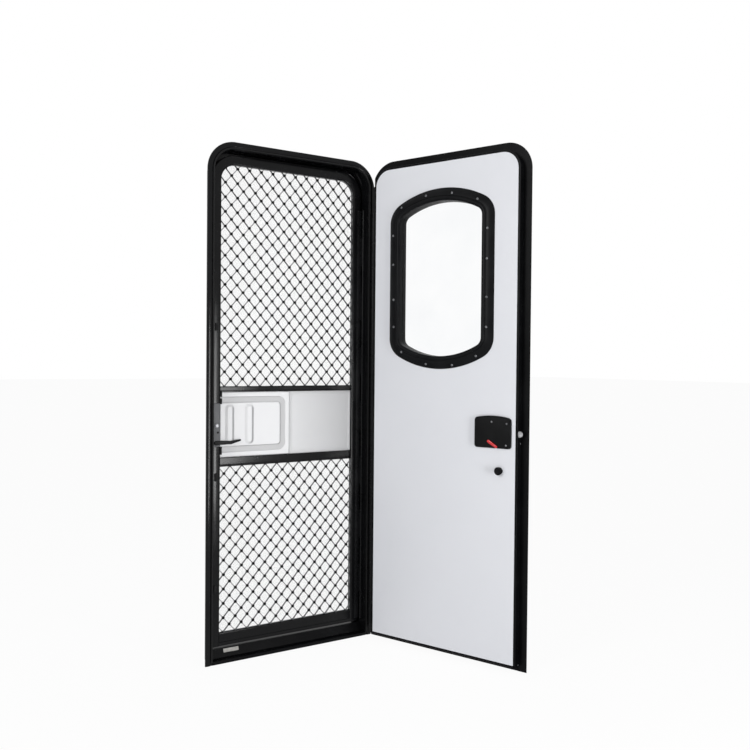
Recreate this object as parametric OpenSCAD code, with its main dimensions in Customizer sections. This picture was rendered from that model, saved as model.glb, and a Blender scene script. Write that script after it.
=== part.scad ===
/* [Wall frame] */
// Width over the outer flange
frame_w = 662; // [560:1:760]
// Height over the outer flange
frame_h = 1790; // [1700:1:1900]
// Outer radius of the two bent top corners
corner_r = 100; // [90:1:130]
// Gap between the back of the closed screen and the stop lip
stop_gap = 6.7; // [5:0.1:10]
// Width of the outer flange, from its edge to the clear opening
flange_w = 26; // [26:1:32]
// How far the flange bead stands in front of the wall
bead_h = 5; // [4:0.5:6]
// Wall thickness of the aluminium sections
section_t = 2; // [1.6:0.1:2.4]
// How far the sill flange laps the wall below the cut-out
sill_lap = 9; // [8:1:9]

/* [Main door] */
// Angle at which the main door stands open
door_open = 112; // [60:1:150]
// Thickness of the door from skin to skin
door_t = 30; // [28:1:34]
// Running gap between the flange bead and the door flange
door_gap = 5; // [4:0.5:6]
// Width of the rim that stays black round the inner skin
edge_lip = 8; // [6:1:10]
// Width of the window opening
window_w = 336; // [240:1:350]
// Height of the window opening
window_h = 546; // [400:1:580]
// Radius of the arched top and bottom of the window opening
arch_r = 324; // [280:1:420]
// Radius of the four corners of the window opening
window_corner_r = 30; // [20:1:60]
// Width of the window ring round the opening
ring_w = 46; // [40:1:58]
// How far the inner window ring stands out from the skin
ring_t = 14; // [10:0.5:15]
// Distance of the window's middle below the top of the frame
window_drop = 452.5; // [420:0.5:470]
// Height of the latch bolt above the sill flange
bolt_z = 804; // [790:1:840]
// Height of the latch box's lower edge above the sill flange
latch_box_z = 753.5; // [740:0.5:780]
// Height of the pull knob above the sill flange
pull_knob_z = 677.5; // [600:0.5:720]

/* [Security screen] */
// Outer radius of the screen's two bent corners
screen_corner_r = 86; // [84:1:110]
// Sight width of the screen's stiles and head
stile_w = 33; // [30:1:36]
// Height of the screen's bottom rail
bottom_rail_h = 46; // [40:1:60]
// Thickness of the screen frame
screen_t = 18; // [18:1:20]
// Height of the lower edge of the panel band
band_z = 704; // [650:1:740]
// Height of the panel band between the two middle rails
band_h = 228; // [200:1:260]
// Height of the upper middle rail
upper_rail_h = 20; // [18:1:30]
// Height of the lower middle rail
lower_rail_h = 32; // [26:1:40]
// Width of one diamond of the grille
diamond_w = 45; // [40:1:60]
// Height of one diamond of the grille
diamond_h = 50.6; // [44:0.2:64]
// Depth of the grille strips
strip_d = 7; // [5:0.5:8]
// Thickness of the grille strips
strip_t = 1.5; // [1.2:0.1:2.4]
// Height of the screen's lever above the sill flange
screen_lever_z = 756; // [745:1:800]

/* [Hidden] */

// The origin is on the flange's back face, in the middle of the part that laps the wall below the opening
z_low = -sill_lap / 2;
z_top = z_low + frame_h;
half_w = frame_w / 2;
arc_fn = 96;
pin_fn = 32;
touch = 0.3;

frame_black = [0.07, 0.07, 0.075];
rubber_black = [0.03, 0.03, 0.03];
panel_white = [0.90, 0.90, 0.92];
steel = [0.72, 0.73, 0.75];
mesh_grey = [0.55, 0.56, 0.57];

// Planes across the thickness, from the wall's outer skin at zero: negative is outdoors
door_back_y = -bead_h - door_gap;
door_flange_t = 2;
door_front_y = door_back_y - door_flange_t;
door_inner_y = door_front_y + door_t;
skin_t = 2;
box_proud = 9;
lever_t = 3.2;
clear = 5;
lock_proud = 2;
screen_lever_t = 2.5;
screen_y = door_inner_y + box_proud + touch + lever_t + clear + lock_proud + touch + screen_lever_t;
screen_back_y = screen_y + screen_t;
frame_depth = screen_back_y + stop_gap + section_t;

// Main door outline: it laps the frame flange and stops short of the outer edge
door_inset = 4;
door_side_s = flange_w + 7;
door_low = z_low + door_inset;
door_box_low = z_low + 20;
axis_s = 8;
door_axis = [half_w - axis_s, (door_front_y + door_back_y) / 2, 0];
knuckle_r = 3.5;
pin_r = 1.5;
pin_clear = 0.05;
hinge_low = z_low + 45;
hinge_top = z_top - corner_r - 42;
knuckle_pitch = 104;
knuckle_gap = 0.6;

// Screen door outline
screen_gap = 8;
screen_s = flange_w + screen_gap;
screen_bend = screen_s + screen_corner_r;
screen_low = z_low + 45;
screen_knuckle_r = 2.6;
screen_axis = [half_w - flange_w - 5, door_inner_y + clear + screen_knuckle_r, 0];
mesh_s = screen_s + stile_w;
mesh_low = screen_low + bottom_rail_h;
mesh_top = z_top - mesh_s;
mesh_half = half_w - mesh_s;
band_low = z_low + band_z;
band_top = band_low + band_h;
upper_top = band_top + upper_rail_h;
lower_low = band_low - lower_rail_h;

// Places a drawing of the closed main door at the angle at which it stands open
module door_pose() {
  translate(door_axis) rotate([0, 0, door_open]) translate(-door_axis) children();
}

// Upright member on the latch side: the section's x runs inwards from the outer edge
module left_upright(low, top) {
  translate([-half_w, 0, low]) linear_extrude(top - low) children();
}

module right_upright(low, top) {
  mirror([1, 0, 0]) left_upright(low, top) children();
}

// Quarter bend at the top right, for a section measured inwards from the outer edge
module right_bend(r) {
  translate([half_w - r, 0, z_top - r])
    rotate([-90, 0, 0]) rotate([0, 0, -90])
      rotate_extrude(angle = 90, $fn = arc_fn) translate([r, 0]) mirror([1, 0]) children();
}

module left_bend(r) {
  mirror([1, 0, 0]) right_bend(r) children();
}

// Straight part of a head between the two bends
module head_run(r) {
  run = frame_w - 2 * r;
  translate([-run / 2, 0, z_top]) rotate([0, 90, 0]) linear_extrude(run) children();
}

// Level member: the section's x runs upwards from the given height
module level_run(x0, x1, z) {
  translate([x1, 0, z]) rotate([0, -90, 0]) linear_extrude(x1 - x0) children();
}

// Rectangle from one corner to the other
module plate(a, b) {
  translate(a) square(b - a);
}

module plain_box(a, b) {
  translate(a) cube(b - a);
}

// Flat drawing, x across and y up, made into a plate of thickness t behind the plane y0
module upright(y0, t) {
  translate([0, y0 + t, 0]) rotate([90, 0, 0]) linear_extrude(t) children();
}

seal_s0 = flange_w - 6.5;
seal_rib = 1.3;
flange_t = 2.4;
stop_w = 20;

// Outer flange of the wall frame: a raised bead and the two ribs of the seal groove
module frame_flange_section() {
  bead_r = 2.5;
  plate([0, -flange_t], [flange_w, 0]);
  plate([bead_r, -bead_h], [seal_s0 - 1.5 - bead_r, 0]);
  plate([0, -bead_h + bead_r], [seal_s0 - 1.5, 0]);
  for (s = [bead_r, seal_s0 - 1.5 - bead_r]) {
    translate([s, -bead_h + bead_r]) circle(r = bead_r, $fn = 24);
  }
  plate([seal_s0 - seal_rib, -bead_h + 1], [seal_s0, 0]);
  plate([flange_w - seal_rib, -bead_h + 1], [flange_w, 0]);
}

// Wall of the frame, through the cut-out, and the stop lip behind the screen
module frame_wall_section() {
  plate([flange_w - section_t, -flange_t], [flange_w, frame_depth]);
  plate([flange_w - section_t, frame_depth - section_t], [flange_w + stop_w, frame_depth]);
}

module frame_section() {
  frame_flange_section();
  frame_wall_section();
}

// The flange runs down to its lower edge, the wall only to the edge of the cut-out
module left_jamb() {
  left_upright(z_low, z_top - corner_r) frame_flange_section();
  left_upright(z_low + sill_lap, z_top - corner_r) frame_wall_section();
}

// Latch bolt: a tongue with a domed nose, its slot in the door edge and its pocket in the jamb
bolt_tall = 22;
bolt_t = 13;
bolt_y = door_inner_y - skin_t - 1.5 - bolt_t / 2;
bolt_throw = 14;
bolt_fit = 1;
pocket_clear = 1.2;
bolt_body = 34;
bolt_h = z_low + bolt_z;

// Box round the bolt, grown by a margin, between two distances from the outer edge
module bolt_space(s0, s1, grow) {
  plain_box([-half_w + s0, bolt_y - bolt_t / 2 - grow, bolt_h - bolt_tall / 2 - grow],
            [-half_w + s1, bolt_y + bolt_t / 2 + grow, bolt_h + bolt_tall / 2 + grow]);
}

module frame_jamb_latch() {
  color(frame_black) difference() {
    left_jamb();
    bolt_space(flange_w - section_t - 1, flange_w + 1, pocket_clear);
  }
}

module frame_jamb_hinge() {
  color(frame_black) mirror([1, 0, 0]) left_jamb();
}

module frame_head() {
  color(frame_black) {
    head_run(corner_r) frame_section();
    right_bend(corner_r) frame_section();
    left_bend(corner_r) frame_section();
  }
}

sill_top = 40;
sill_nose = 12;
ledge_end = door_inner_y + clear;
riser_end = screen_y - 3;

// Sill section, x up and y to the back: nose, ledge under the door, sloping riser, shelf and stop lip
module frame_sill() {
  x = half_w - flange_w;
  shelf_end = frame_depth - section_t;
  color(frame_black) level_run(-x, x, z_low) difference() {
    polygon([
      [0, 0], [0, -bead_h + 1], [1, -bead_h], [sill_nose - 1.5, -bead_h], [sill_nose, -bead_h + 1.5],
      [sill_nose, ledge_end], [sill_top, riser_end], [sill_top, shelf_end],
      [sill_lap, shelf_end], [sill_lap, 0]
    ]);
    polygon([
      [sill_lap + section_t, ledge_end + 3], [sill_top - section_t, riser_end + section_t],
      [sill_top - section_t, shelf_end - section_t], [sill_lap + section_t, shelf_end - section_t]
    ]);
  }
}

seal_r = 3;

// Bulb seal in the flange groove, on the two jambs and round the head
module seal_section() {
  mid = (seal_s0 + flange_w - seal_rib) / 2;
  translate([mid, door_back_y + touch + seal_r]) circle(r = seal_r - 0.2, $fn = 24);
  plate([seal_s0 + 0.1, -bead_h + 1], [flange_w - seal_rib - 0.1, -flange_t]);
  plate([mid - 1, -bead_h - 1], [mid + 1, -flange_t]);
}

module frame_seal() {
  color(rubber_black) {
    left_upright(z_low + sill_nose, z_top - corner_r) seal_section();
    right_upright(z_low + sill_nose, z_top - corner_r) seal_section();
    head_run(corner_r) seal_section();
    right_bend(corner_r) seal_section();
    left_bend(corner_r) seal_section();
  }
}

// Strike plate on the latch jamb, behind the flange
strike_t = 1;
strike_half_h = 32;

module strike_plate() {
  x = -half_w + flange_w;
  color(steel) difference() {
    plain_box([x, -flange_t, bolt_h - strike_half_h], [x + strike_t, door_inner_y + 6, bolt_h + strike_half_h]);
    bolt_space(flange_w - 1, flange_w + strike_t + 1, pocket_clear);
  }
}

// Knuckles at every second place along a pin, from the given first place
module knuckles(axis, r, first, low, top, pitch) {
  count = floor((top - low) / pitch);
  for (i = [first : 2 : count - 1]) {
    translate([axis[0], axis[1], low + i * pitch + knuckle_gap / 2])
      difference() {
        cylinder(r = r, h = pitch - knuckle_gap, $fn = pin_fn);
        translate([0, 0, -1]) cylinder(r = pin_r + pin_clear, h = pitch + 2, $fn = pin_fn);
      }
  }
}

// Webs from every second knuckle to its leaf
module webs(low, top, first, pitch, x0, x1, y0, y1) {
  count = floor((top - low) / pitch);
  for (i = [first : 2 : count - 1]) {
    plain_box([x0, y0, low + i * pitch + knuckle_gap / 2],
              [x1, y1, low + (i + 1) * pitch - knuckle_gap / 2]);
  }
}

// Length that holds a whole number of knuckles
function hinge_span(low, top, pitch) = floor((top - low) / pitch) * pitch;

leaf_t = 1.5;

module door_hinge_fixed_leaf() {
  span = hinge_span(hinge_low, hinge_top, knuckle_pitch);
  x = door_axis[0];
  y = door_axis[1];
  color(frame_black) difference() {
    union() {
      knuckles(door_axis, knuckle_r, 0, hinge_low, hinge_top, knuckle_pitch);
      webs(hinge_low, hinge_top, 0, knuckle_pitch, x - 1.5, x + 1.5, y + 2.5, -bead_h - leaf_t + 0.5);
      plain_box([x - 8, -bead_h - leaf_t, hinge_low], [half_w - 1, -bead_h, hinge_low + span]);
    }
    translate([x, y, hinge_low - 1]) cylinder(r = pin_r + pin_clear, h = span + 2, $fn = pin_fn);
  }
}

module door_hinge_pin() {
  span = hinge_span(hinge_low, hinge_top, knuckle_pitch);
  color(steel) translate([door_axis[0], door_axis[1], hinge_low])
    cylinder(r = pin_r, h = span, $fn = pin_fn);
}

module door_hinge_leaf() {
  span = hinge_span(hinge_low, hinge_top, knuckle_pitch);
  x = door_axis[0];
  y = door_axis[1];
  color(frame_black) door_pose() difference() {
    union() {
      knuckles(door_axis, knuckle_r, 1, hinge_low, hinge_top, knuckle_pitch);
      webs(hinge_low, hinge_top, 1, knuckle_pitch, x - 6, x - 1, door_front_y - leaf_t, door_front_y);
      plain_box([x - 6 - leaf_w, door_front_y - leaf_t, hinge_low], [x - 5, door_front_y, hinge_low + span]);
    }
    translate([x, y, hinge_low - 1]) cylinder(r = pin_r + pin_clear, h = span + 2, $fn = pin_fn);
  }
}

screen_hinge_low = screen_low + 12;
screen_hinge_top = z_top - screen_bend - 14;
leaf_w = 18;

module screen_hinge_fixed_leaf() {
  span = hinge_span(screen_hinge_low, screen_hinge_top, knuckle_pitch);
  x = screen_axis[0];
  wall_x = half_w - flange_w;
  color(frame_black) difference() {
    union() {
      knuckles(screen_axis, screen_knuckle_r, 0, screen_hinge_low, screen_hinge_top, knuckle_pitch);
      webs(screen_hinge_low, screen_hinge_top, 0, knuckle_pitch,
           x + 1.8, wall_x - 1, screen_axis[1] - 1, screen_axis[1] + 1);
      plain_box([wall_x - leaf_t, screen_axis[1] - 2, screen_hinge_low],
                [wall_x, screen_axis[1] + leaf_w, screen_hinge_low + span]);
    }
    translate([x, screen_axis[1], screen_hinge_low - 1])
      cylinder(r = pin_r + pin_clear, h = span + 2, $fn = pin_fn);
  }
}

module screen_hinge_pin() {
  span = hinge_span(screen_hinge_low, screen_hinge_top, knuckle_pitch);
  color(steel) translate([screen_axis[0], screen_axis[1], screen_hinge_low])
    cylinder(r = pin_r, h = span, $fn = pin_fn);
}

module screen_hinge_leaf() {
  span = hinge_span(screen_hinge_low, screen_hinge_top, knuckle_pitch);
  x = screen_axis[0];
  y = screen_axis[1];
  color(frame_black) difference() {
    union() {
      knuckles(screen_axis, screen_knuckle_r, 1, screen_hinge_low, screen_hinge_top, knuckle_pitch);
      webs(screen_hinge_low, screen_hinge_top, 1, knuckle_pitch, x - 2 - leaf_t, x - 2, y, screen_y - 1);
      plain_box([x - 2 - leaf_t, screen_y - leaf_t - 3, screen_hinge_low], [x - 2, screen_y, screen_hinge_low + span]);
      plain_box([x - leaf_w, screen_y - leaf_t, screen_hinge_low], [x - 2, screen_y, screen_hinge_low + span]);
    }
    translate([x, y, screen_hinge_low - 1]) cylinder(r = pin_r + pin_clear, h = span + 2, $fn = pin_fn);
  }
}

// Screen frame section: a box with rounded front corners and a glazing lip at its inner edge
module screen_section() {
  r = 3;
  s0 = screen_s;
  s1 = screen_s + stile_w;
  difference() {
    union() {
      plate([s0 + r, screen_y], [s1 - r, screen_back_y]);
      plate([s0, screen_y + r], [s1, screen_back_y]);
      for (s = [s0 + r, s1 - r]) translate([s, screen_y + r]) circle(r = r, $fn = 24);
    }
    plate([s0 + section_t, screen_y + section_t + 1], [s1 - section_t - channel_d, screen_back_y - section_t]);
    plate([s1 - channel_d, channel_y], [s1 + 1, channel_end]);
  }
}

module screen_stile_latch() {
  color(frame_black) left_upright(screen_low, z_top - screen_bend) screen_section();
}

module screen_stile_hinge() {
  color(frame_black) right_upright(screen_low, z_top - screen_bend) screen_section();
}

module screen_head() {
  color(frame_black) {
    head_run(screen_bend) screen_section();
    right_bend(screen_bend) screen_section();
    left_bend(screen_bend) screen_section();
  }
}

// Level rail between the stiles, x up and y to the back, with a grille channel below or above
module rail(low, height, below, above) {
  color(frame_black) level_run(-mesh_half, mesh_half, low) difference() {
    plate([0, screen_y + 1], [height, screen_back_y - 1]);
    plate([channel_d + section_t, screen_y + 1 + section_t],
          [height - channel_d - section_t, screen_back_y - 1 - section_t]);
    plate([-1, below[0]], [channel_d, below[1]]);
    plate([height - channel_d, above[0]], [height + 1, above[1]]);
  }
}

module screen_bottom_rail() {
  rail(screen_low, bottom_rail_h, grille_channel, grille_channel);
}

module screen_upper_rail() {
  rail(band_top, upper_rail_h, band_channel, grille_channel);
}

module screen_lower_rail() {
  rail(lower_low, lower_rail_h, grille_channel, band_channel);
}

channel_y = screen_y + 4;
grille_y = channel_y + touch;
fly_y = grille_y + strip_d + touch;
fly_t = 0.6;
boss_r = 4;
rim = 3;
channel_end = fly_y + fly_t + touch;
channel_d = rim + touch;
grille_channel = [channel_y, channel_end];

// Points of a quarter turn about a centre, from one angle to the next
function arc_points(c, r, from, to, steps) =
  [for (i = [0 : steps]) let (a = from + (to - from) * i / steps) c + r * [cos(a), sin(a)]];

// Outline of a screen opening, grown by a margin, with its top corners rounded like the bend
function opening_outline(low, top, r, grow) =
  let (w = mesh_half + grow, c = [mesh_half - r, top - r])
  concat([[-w, low - grow], [w, low - grow]],
         arc_points(c, r + grow, 0, 90, corner_steps),
         arc_points([-c[0], c[1]], r + grow, 90, 180, corner_steps));

// Cuts a convex outline to the inner side of the edge from p to q
function cut_side(shape, p, q) =
  let (n = [-(q - p)[1], (q - p)[0]], d = n * p, last = len(shape) - 1)
  [for (i = [0 : last])
    let (a = shape[i], b = shape[i == last ? 0 : i + 1], da = n * a - d, db = n * b - d,
         cross = (da * db < 0) ? [a + (b - a) * da / (da - db)] : [])
    each concat(cross, (db >= 0) ? [b] : [])];

function cut_to(shape, outline, i = 0) =
  (i == len(outline) || len(shape) < 3) ? shape
    : cut_to(cut_side(shape, outline[i], outline[(i + 1) % len(outline)]), outline, i + 1);

// One opening of the grille: a diamond between strips, with its corners cut off by the bosses
function diamond(c) =
  let (w = diamond_w / 2, h = diamond_h / 2, side = sqrt(w * w + h * h), k = 1 - strip_t * side / (2 * w * h),
       bx = w - boss_r, bz = h - boss_r, tx = w * k, tz = h * k)
  [for (p = [[bx, -tz * (1 - bx / tx)], [bx, tz * (1 - bx / tx)], [tx * (1 - bz / tz), bz], [-tx * (1 - bz / tz), bz],
             [-bx, tz * (1 - bx / tx)], [-bx, -tz * (1 - bx / tx)], [-tx * (1 - bz / tz), -bz],
             [tx * (1 - bz / tz), -bz]]) c + p];

function area2(shape) = len(shape) < 3 ? 0
  : sum_cross(shape, len(shape) - 1);

function sum_cross(shape, i) =
  let (a = shape[i], b = shape[(i + 1) % len(shape)])
  (a[0] * b[1] - a[1] * b[0]) + (i > 0 ? sum_cross(shape, i - 1) : 0);

// All the diamonds of one grille, in rows from its lower edge, cut to its opening
function grille_holes(low, top, outline) =
  let (rows = ceil(2 * (top - low) / diamond_h), cols = ceil(mesh_half / diamond_w) + 1)
  [for (j = [0 : rows], i = [-cols : cols])
    let (x = (i + (j % 2) / 2) * diamond_w, z = low + j * diamond_h / 2,
         hole = cut_to(diamond([x, z]), outline))
    if (area2(hole) > min_hole) hole];

min_hole = 8;
corner_steps = 6;
upper_r = screen_corner_r - stile_w + 2;
small_r = 1;

// A plate outline with all its openings taken out in one cut
module pierced(outer, holes) {
  difference() {
    polygon(outer);
    for (h = holes) polygon(h);
  }
}

module grille_upper() {
  holes = grille_holes(upper_top, mesh_top, opening_outline(upper_top, mesh_top, upper_r, 0));
  color(frame_black) upright(grille_y, strip_d)
    pierced(opening_outline(upper_top, mesh_top, upper_r, rim), holes);
}

module grille_lower() {
  holes = grille_holes(mesh_low, lower_low, opening_outline(mesh_low, lower_low, small_r, 0));
  color(frame_black) upright(grille_y, strip_d)
    pierced(opening_outline(mesh_low, lower_low, small_r, rim), holes);
}

module flyscreen_upper() {
  color(mesh_grey) upright(fly_y, fly_t) polygon(opening_outline(upper_top, mesh_top, upper_r, rim));
}

module flyscreen_lower() {
  color(mesh_grey) upright(fly_y, fly_t) polygon(opening_outline(mesh_low, lower_low, small_r, rim));
}

// Planes of the panel band, from the back of the lever in front of it to the fixed panel
lever_back_y = screen_y - lock_proud - touch;
grip_t = 2.5;
plateau_t = 1;
groove_t = 1.5;
plateau_y = lever_back_y + clear + grip_t;
hatch_y = plateau_y + plateau_t;
tongue_t = 2;
tongue_y = hatch_y + 1;
panel_t = 3;
panel_y = tongue_y + tongue_t + 2;
band_channel = [tongue_y - touch, panel_y + panel_t + touch];
hatch_fit = 0.5;
seam_x = 4;

// Rectangle with four round corners
module rounded(a, b, r) {
  plate(a + [r, 0], b - [r, 0]);
  plate(a + [0, r], b - [0, r]);
  for (x = [a[0] + r, b[0] - r], z = [a[1] + r, b[1] - r]) translate([x, z]) circle(r = r, $fn = 48);
}

// Fixed half of the panel band, on the hinge side, with a raised bead round its field
module fixed_panel() {
  bead = 9;
  x1 = mesh_half - touch;
  color(panel_white) {
    plain_box([seam_x - 20, panel_y, band_low - rim], [x1, panel_y + panel_t, band_top + rim]);
    upright(panel_y - 1, 1 + touch) difference() {
      rounded([seam_x + 2, band_low + touch], [x1, band_top - touch], 3);
      rounded([seam_x + bead, band_low + bead], [x1 - bead + 1, band_top - bead], 5);
    }
  }
}

hatch_border = 17;
groove_w = 20;
grip_w = 24;
grip_h = 131;

// Sliding half: a moulded tray with a sunk groove round a plateau, and two upright finger grips
module sliding_hatch() {
  x0 = -mesh_half + hatch_fit;
  x1 = seam_x;
  low = band_low + hatch_fit;
  top = band_top - hatch_fit;
  mid = (low + top) / 2;
  sunk = hatch_border + groove_w;
  color(panel_white) {
    plain_box([x0 - rim, tongue_y, low - rim], [x1, tongue_y + tongue_t, top + rim]);
    upright(hatch_y, groove_t) difference() {
      plate([x0, low], [x1, top]);
      rounded([x0 - 40, low + hatch_border], [x1 - hatch_border, top - hatch_border], 26);
    }
    upright(plateau_y, tongue_y + 1 - plateau_y) intersection() {
      plate([x0, low], [x1, top]);
      rounded([x0 - 40, low + sunk], [x1 - sunk, top - sunk], 9);
    }
    for (x = [x0 + 24, x0 + 98]) {
      upright(plateau_y - grip_t, grip_t + 1) rounded([x, mid - grip_h / 2], [x + grip_w, mid + grip_h / 2], 8);
    }
  }
}

lock_x = -mesh_half - stile_w / 2;
lock_w = 26;
lock_low = z_low + 742;
lock_h = 152;
lever_z = z_low + screen_lever_z;
snib_z = z_low + 805;

// Long plate of the screen's lock on the stile, with a round snib
module screen_lock_body() {
  color(rubber_black) {
    upright(screen_y - lock_proud, lock_proud)
      rounded([lock_x - lock_w / 2, lock_low], [lock_x + lock_w / 2, lock_low + lock_h], 6);
    translate([lock_x, screen_y - lock_proud + touch, snib_z]) rotate([90, 0, 0]) cylinder(r = 8, h = 4, $fn = pin_fn);
  }
}

screen_lever_l = 66;

// Lever that works the screen's catch, pivoted on the lock body and slimmer towards its tip
module screen_lever() {
  color(rubber_black) translate([lock_x, 0, lever_z]) upright(lever_back_y - screen_lever_t, screen_lever_t) {
    circle(r = 9, $fn = pin_fn);
    polygon([[0, -6], [screen_lever_l / 2, -6], [screen_lever_l, 0], [screen_lever_l, 5], [screen_lever_l / 2, 3], [0, 6]]);
    translate([screen_lever_l, 2.5]) circle(r = 2.5, $fn = pin_fn);
  }
}

buffer_heights = [248, 637, 1158];
buffer_h = 28;
buffer_w = 10;
buffer_t = 3.5;

module screen_buffers() {
  color(rubber_black) for (z = buffer_heights) {
    upright(screen_y - buffer_t, buffer_t)
      rounded([lock_x - buffer_w / 2, z_low + z - buffer_h / 2], [lock_x + buffer_w / 2, z_low + z + buffer_h / 2], 4);
  }
}

edge_wall_s = door_side_s;
edge_lip_s = door_side_s + edge_lip;

// Flange of the door edge, which laps the wall frame
module door_flange_section(first) {
  plate([first, door_front_y], [edge_wall_s + 5, door_back_y]);
}

// Side wall of the door edge and the lip that holds the inner skin
module door_wall_section() {
  plate([edge_wall_s, door_front_y], [edge_wall_s + section_t, door_inner_y]);
  plate([edge_wall_s, door_inner_y - skin_t], [edge_lip_s, door_inner_y]);
}

module door_edge_section(first) {
  door_flange_section(first);
  door_wall_section();
}

module door_edge_latch() {
  color(frame_black) door_pose() difference() {
    union() {
      left_upright(door_low, z_top - corner_r) door_flange_section(door_inset);
      left_upright(door_box_low, z_top - corner_r) door_wall_section();
    }
    bolt_space(edge_wall_s - 1, edge_wall_s + section_t + 1, bolt_fit);
  }
}

module door_edge_hinge() {
  color(frame_black) door_pose() {
    right_upright(door_low, z_top - corner_r) door_flange_section(axis_s + 6);
    right_upright(door_box_low, z_top - corner_r) door_wall_section();
  }
}

module door_edge_head() {
  color(frame_black) door_pose() difference() {
    union() {
      head_run(corner_r) door_edge_section(door_inset);
      right_bend(corner_r) door_edge_section(door_inset);
      left_bend(corner_r) door_edge_section(door_inset);
    }
    plain_box([half_w - axis_s - 6, door_front_y - 1, z_top - corner_r - 1], [half_w, door_back_y + 1, z_top]);
  }
}

// Bottom edge of the door between the two upright edges
module door_edge_bottom() {
  wall = door_box_low - z_low;
  lip_x = half_w - edge_lip_s;
  wall_x = half_w - edge_wall_s - section_t;
  flange_x = half_w - edge_wall_s - 5;
  color(frame_black) door_pose() {
    level_run(-flange_x, flange_x, z_low) plate([door_inset, door_front_y], [wall + 5, door_back_y]);
    level_run(-wall_x, wall_x, z_low) plate([wall, door_back_y], [wall + section_t, door_inner_y - skin_t]);
    level_run(-lip_x, lip_x, z_low) plate([wall, door_inner_y - skin_t], [wall + edge_lip, door_inner_y]);
  }
}

// Outline of a door layer, square below and rounded above, inset from the outer edge of the wall frame
module door_layer(side, low) {
  r = corner_r - side;
  w = half_w - side;
  top = z_top - side;
  plate([-w, low], [w, top - r]);
  plate([-w + r, low], [w - r, top]);
  for (x = [-w + r, w - r]) translate([x, top - r]) circle(r = r, $fn = arc_fn);
}

// Window outline: straight sides, rounded corners and an arched top and bottom
window_x = 9;
window_mid = z_top - window_drop;
cut_grow = 8;
arch_a = asin((window_w / 2 - window_corner_r) / (arch_r - window_corner_r));
arch_drop = (arch_r - window_corner_r) * cos(arch_a);
corner_up = window_h / 2 - arch_r + arch_drop;
corner_x = window_w / 2 - window_corner_r;

// Slice of a round plate between two angles
module sector(r, from, to) {
  far = 2 * r;
  intersection() {
    circle(r = r, $fn = 4 * arc_fn);
    polygon([[0, 0], far * [cos(from), sin(from)], far * [cos(to), sin(to)]]);
  }
}

module window_outline(grow) {
  translate([window_x, window_mid]) {
    plate([-window_w / 2 - grow, -corner_up], [window_w / 2 + grow, corner_up]);
    for (end = [0, 1]) mirror([0, end]) {
      translate([0, corner_up - arch_drop]) sector(arch_r + grow, 90 - arch_a, 90 + arch_a);
      for (x = [-corner_x, corner_x]) translate([x, corner_up]) circle(r = window_corner_r + grow, $fn = arc_fn);
    }
  }
}

// One layer of a window ring: y is where it starts, from and to are distances outwards from the opening
module ring_layer(y, t, from, to) {
  upright(y, t) difference() {
    window_outline(to);
    window_outline(from);
  }
}

module door_core() {
  color(panel_white) door_pose() difference() {
    upright(door_back_y, door_t - door_flange_t - skin_t) difference() {
      door_layer(edge_wall_s + section_t, door_box_low + section_t);
      window_outline(cut_grow);
    }
    bolt_space(edge_wall_s, edge_wall_s + section_t + bolt_body, bolt_fit);
  }
}

module door_inner_skin() {
  color(panel_white) door_pose() upright(door_inner_y - skin_t, skin_t) difference() {
    door_layer(edge_lip_s, door_box_low + edge_lip);
    window_outline(cut_grow);
  }
}

module door_outer_skin() {
  color(panel_white) door_pose() upright(door_front_y, door_flange_t) difference() {
    door_layer(edge_wall_s + 5, door_box_low + 5);
    window_outline(cut_grow);
  }
}

pane_t = 3;
pane_y = (door_front_y + door_inner_y) / 2 - pane_t / 2;
pane_grow = 5;
ring_edge_t = 3;
ring_sleeve_w = cut_grow - touch;
outer_ring_w = 30;
outer_ring_t = 8;

// The inner ring steps down from a raised lip round the opening to a thin edge on the skin
module window_inner_ring() {
  color(frame_black) door_pose() {
    ring_layer(pane_y + pane_t, door_inner_y - pane_y - pane_t, 0, ring_sleeve_w);
    ring_layer(door_inner_y, ring_edge_t, 0, ring_w);
    ring_layer(door_inner_y + ring_edge_t, ring_edge_t, 0, 0.9 * ring_w);
    ring_layer(door_inner_y + 2 * ring_edge_t, ring_t - 3 * ring_edge_t, 1, 0.75 * ring_w);
    ring_layer(door_inner_y + ring_t - ring_edge_t, ring_edge_t, ring_edge_t, 0.55 * ring_w);
  }
}

module window_outer_ring() {
  color(frame_black) door_pose() {
    ring_layer(door_front_y, pane_y - door_front_y, 0, ring_sleeve_w);
    ring_layer(door_front_y - ring_edge_t, ring_edge_t, 0, outer_ring_w);
    ring_layer(door_front_y - outer_ring_t, outer_ring_t - ring_edge_t, 1, 0.8 * outer_ring_w);
  }
}

module window_pane() {
  color([0.75, 0.78, 0.80, 0.5]) door_pose() upright(pane_y, pane_t) window_outline(pane_grow);
}

box_w = 138;
box_h = 110;
box_x0 = -half_w + edge_lip_s + 14;
box_low = z_low + latch_box_z;
box_rise = 8;
box_step = 2.5;

// Outline of the latch box: round corners and a slightly arched top, inset by a margin
module box_outline(inset) {
  half = box_w / 2;
  top_r = (half * half + box_rise * box_rise) / (2 * box_rise);
  intersection() {
    rounded([box_x0 + inset, box_low + inset], [box_x0 + box_w - inset, box_low + box_h - inset], 10 - inset);
    translate([box_x0 + half, box_low + box_h - inset - top_r]) circle(r = top_r, $fn = 4 * arc_fn);
  }
}

module latch_box() {
  color(frame_black) door_pose() {
    upright(door_inner_y, box_proud - box_step) box_outline(0);
    upright(door_inner_y + box_proud - box_step - touch, box_step + touch) box_outline(4);
  }
}

latch_lever_x = box_x0 + 86;
latch_lever_z = box_low + 25.5;
latch_lever_l = 42;
latch_lever_r = 5.5;

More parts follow.
